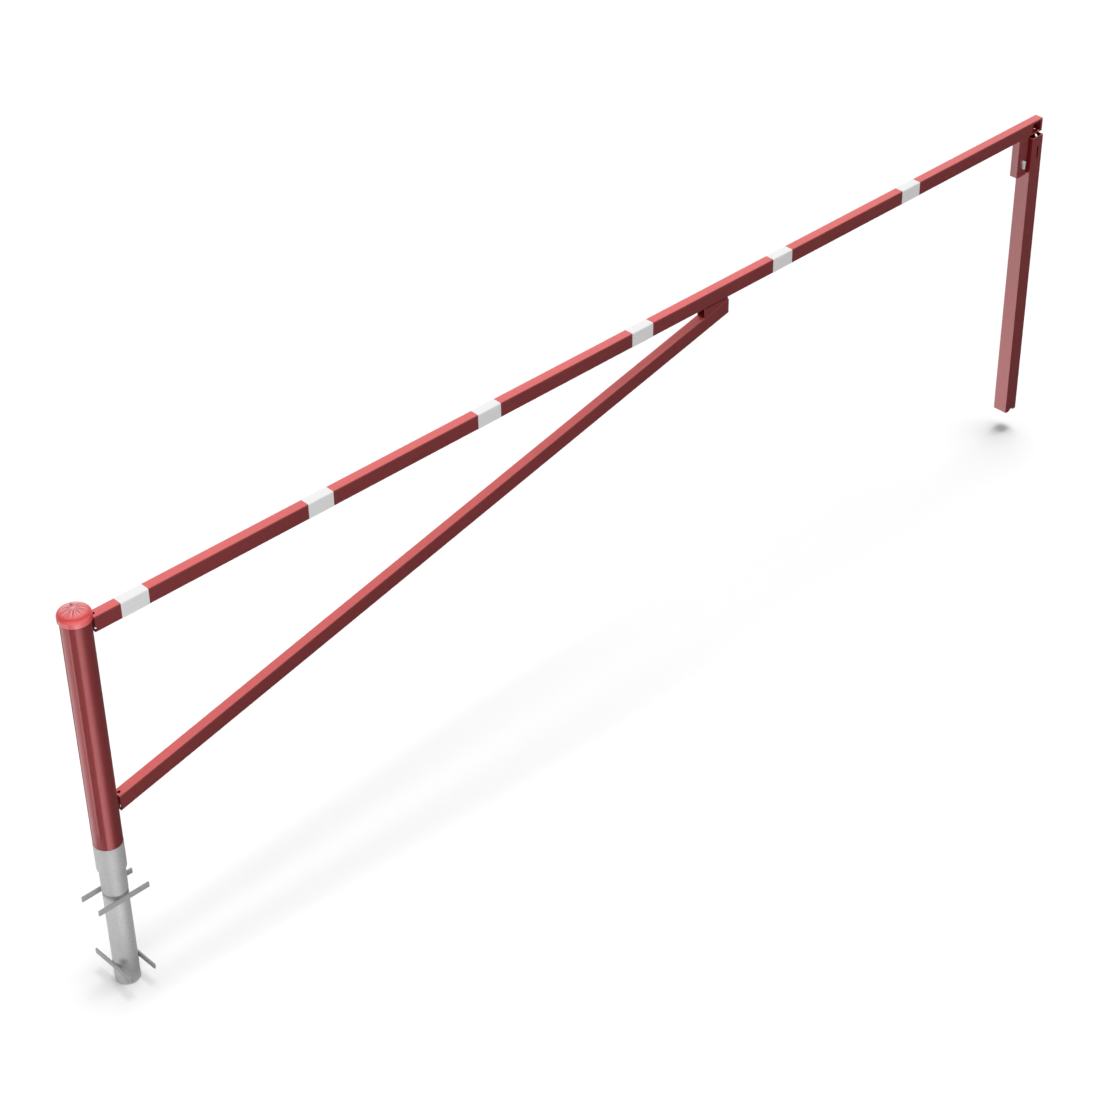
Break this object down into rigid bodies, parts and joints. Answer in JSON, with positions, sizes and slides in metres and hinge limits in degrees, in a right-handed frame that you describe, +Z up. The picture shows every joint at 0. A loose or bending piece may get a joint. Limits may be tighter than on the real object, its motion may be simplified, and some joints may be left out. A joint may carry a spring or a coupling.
{
  "type": "swing barrier with lock post",
  "caption": "Horizontal swing barrier: a braced rectangular beam on a turning sleeve post with a ground tube and anchors, a lock box under its end and a square lock post.",
  "frame": {"origin": "centre of the ground tube's bottom face, on the turning axis", "axes": "+Z up along the turning axis, +X along the closed beam towards the lock post, +Y horizontal"},
  "size_m": [4.9585, 0.205, 1.592],
  "materials": {
    "red_paint": "glossy red powder coat",
    "galvanised": "hot-dip galvanised",
    "white_band": "white reflective film",
    "bush_plastic": "plain sliding plastic",
    "bare_steel": "oiled steel",
    "nickel": "satin nickel"
  },
  "bodies": {
    "ground": {"ground_tube": "galvanised", "ground_collar": "galvanised", "anchor_upper_front": "galvanised", "anchor_upper_rear": "galvanised", "anchor_lower_left": "galvanised", "anchor_lower_right": "galvanised", "lower_bush": "bush_plastic", "upper_bush": "bush_plastic", "pivot_plug": "bare_steel", "thrust_pad": "bush_plastic", "lock_post": "red_paint"},
    "arm": {"sleeve": "red_paint", "bearing_plate": "bare_steel", "post_cap": "red_paint", "beam": "red_paint", "beam_end_plate": "red_paint", "brace": "red_paint", "brace_end_plate": "red_paint", "gusset_front": "red_paint", "gusset_rear": "red_paint", "beam_lug": "red_paint", "brace_lug": "red_paint", "lock_box": "red_paint", "lock_box_floor": "red_paint", "lock_door": "red_paint", "lock_case": "bare_steel", "lock_cylinder": "nickel", "lock_bolt": "bare_steel", "band_1": "white_band", "band_2": "white_band", "band_3": "white_band", "band_4": "white_band", "band_5": "white_band", "band_6": "white_band"}
  },
  "joints": [
    {"name": "swing", "type": "hinge", "parent": "ground", "child": "arm", "pos_m": [0, 0, 1], "axis": [0, 0, 1], "range_deg": [-90, 90]}
  ]
}
